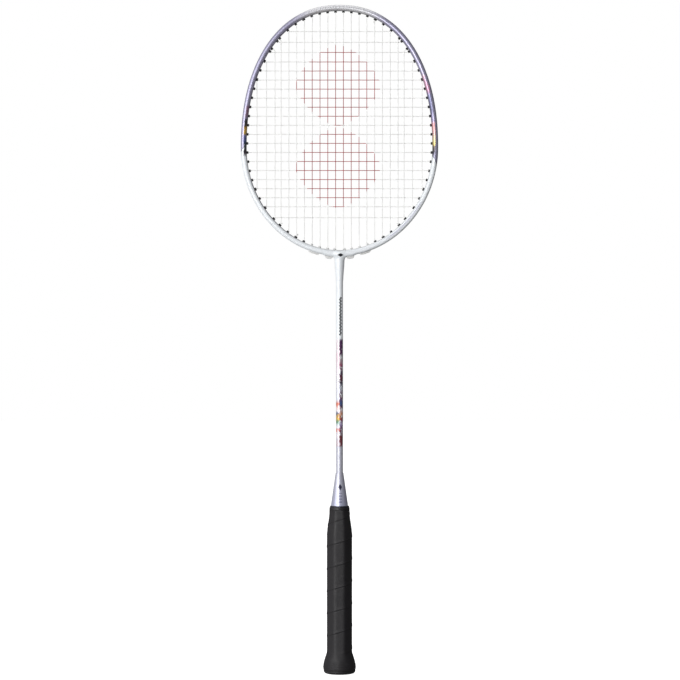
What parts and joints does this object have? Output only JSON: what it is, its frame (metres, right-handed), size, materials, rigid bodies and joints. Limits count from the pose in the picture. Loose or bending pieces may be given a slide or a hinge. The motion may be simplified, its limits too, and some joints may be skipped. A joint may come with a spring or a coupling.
{
  "type": "badminton racket",
  "caption": "Light sports racket: strung oval hoop on a slim round shaft, with a cone cap, a wrapped eight-sided handle and a flared butt.",
  "frame": {"origin": "centre of the flat end face of the butt", "axes": "+Z from the butt to the tip of the head, X across the face, +Y out of the back of the string bed"},
  "size_m": [0.1992, 0.033, 0.675],
  "materials": {
    "frame_paint": "gloss pearl lacquer over carbon fibre, lilac above and white below",
    "shaft_paint": "gloss pearl lacquer over carbon fibre with a printed pattern",
    "cone_paint": "metallic lilac-silver lacquer on moulded plastic",
    "joint_resin": "moulded carbon-filled resin",
    "handle_wood": "sanded, unvarnished",
    "butt_plastic": "fine satin grain",
    "grip": "matte tacky polyurethane tape with a fine pebbled grain",
    "band_rubber": "satin",
    "tack_steel": "bright zinc plate",
    "grommet": "satin moulded nylon",
    "clear_grommet": "milky translucent nylon",
    "string": "smooth coated multifilament nylon"
  },
  "bodies": {
    "root": {"head_frame": "frame_paint", "throat_joint": "joint_resin", "shaft": "shaft_paint", "cone_cap": "cone_paint", "handle_core": "handle_wood", "butt_cap": "butt_plastic", "grip_wrap": "grip", "grip_band": "band_rubber", "grip_tack": "tack_steel", "main_string": "string", "cross_string": "string", "grommet_strip_shoulder_right": "grommet", "grommet_strip_flank_right": "grommet", "throat_grommet_outer_right": "clear_grommet", "throat_grommet_inner_right": "clear_grommet", "grommet_upper_main_11_right": "grommet", "grommet_upper_main_10_right": "grommet", "grommet_upper_main_9_right": "grommet", "grommet_upper_main_8_right": "grommet", "grommet_upper_main_7_right": "grommet", "grommet_upper_main_6_right": "grommet", "grommet_upper_main_2_cross_4_right": "grommet", "grommet_upper_cross_5_right": "grommet", "grommet_upper_main_1_cross_6_right": "grommet", "grommet_lower_main_1_cross_18_right": "grommet", "grommet_lower_cross_19_right": "grommet", "grommet_lower_main_2_cross_20_right": "grommet", "grommet_lower_main_3_cross_21_right": "grommet", "grommet_lower_main_4_right": "grommet", "grommet_lower_main_5_right": "grommet", "grommet_lower_main_6_right": "grommet", "grommet_lower_main_7_right": "grommet", "grommet_strip_shoulder_left": "grommet", "grommet_strip_flank_left": "grommet", "throat_grommet_outer_left": "clear_grommet", "throat_grommet_inner_left": "clear_grommet", "grommet_upper_main_11_left": "grommet", "grommet_upper_main_10_left": "grommet", "grommet_upper_main_9_left": "grommet", "grommet_upper_main_8_left": "grommet", "grommet_upper_main_7_left": "grommet", "grommet_upper_main_6_left": "grommet", "grommet_upper_main_2_cross_4_left": "grommet", "grommet_upper_cross_5_left": "grommet", "grommet_upper_main_1_cross_6_left": "grommet", "grommet_lower_main_1_cross_18_left": "grommet", "grommet_lower_cross_19_left": "grommet", "grommet_lower_main_2_cross_20_left": "grommet", "grommet_lower_main_3_cross_21_left": "grommet", "grommet_lower_main_4_left": "grommet", "grommet_lower_main_5_left": "grommet", "grommet_lower_main_6_left": "grommet", "grommet_lower_main_7_left": "grommet"}
  },
  "joints": []
}
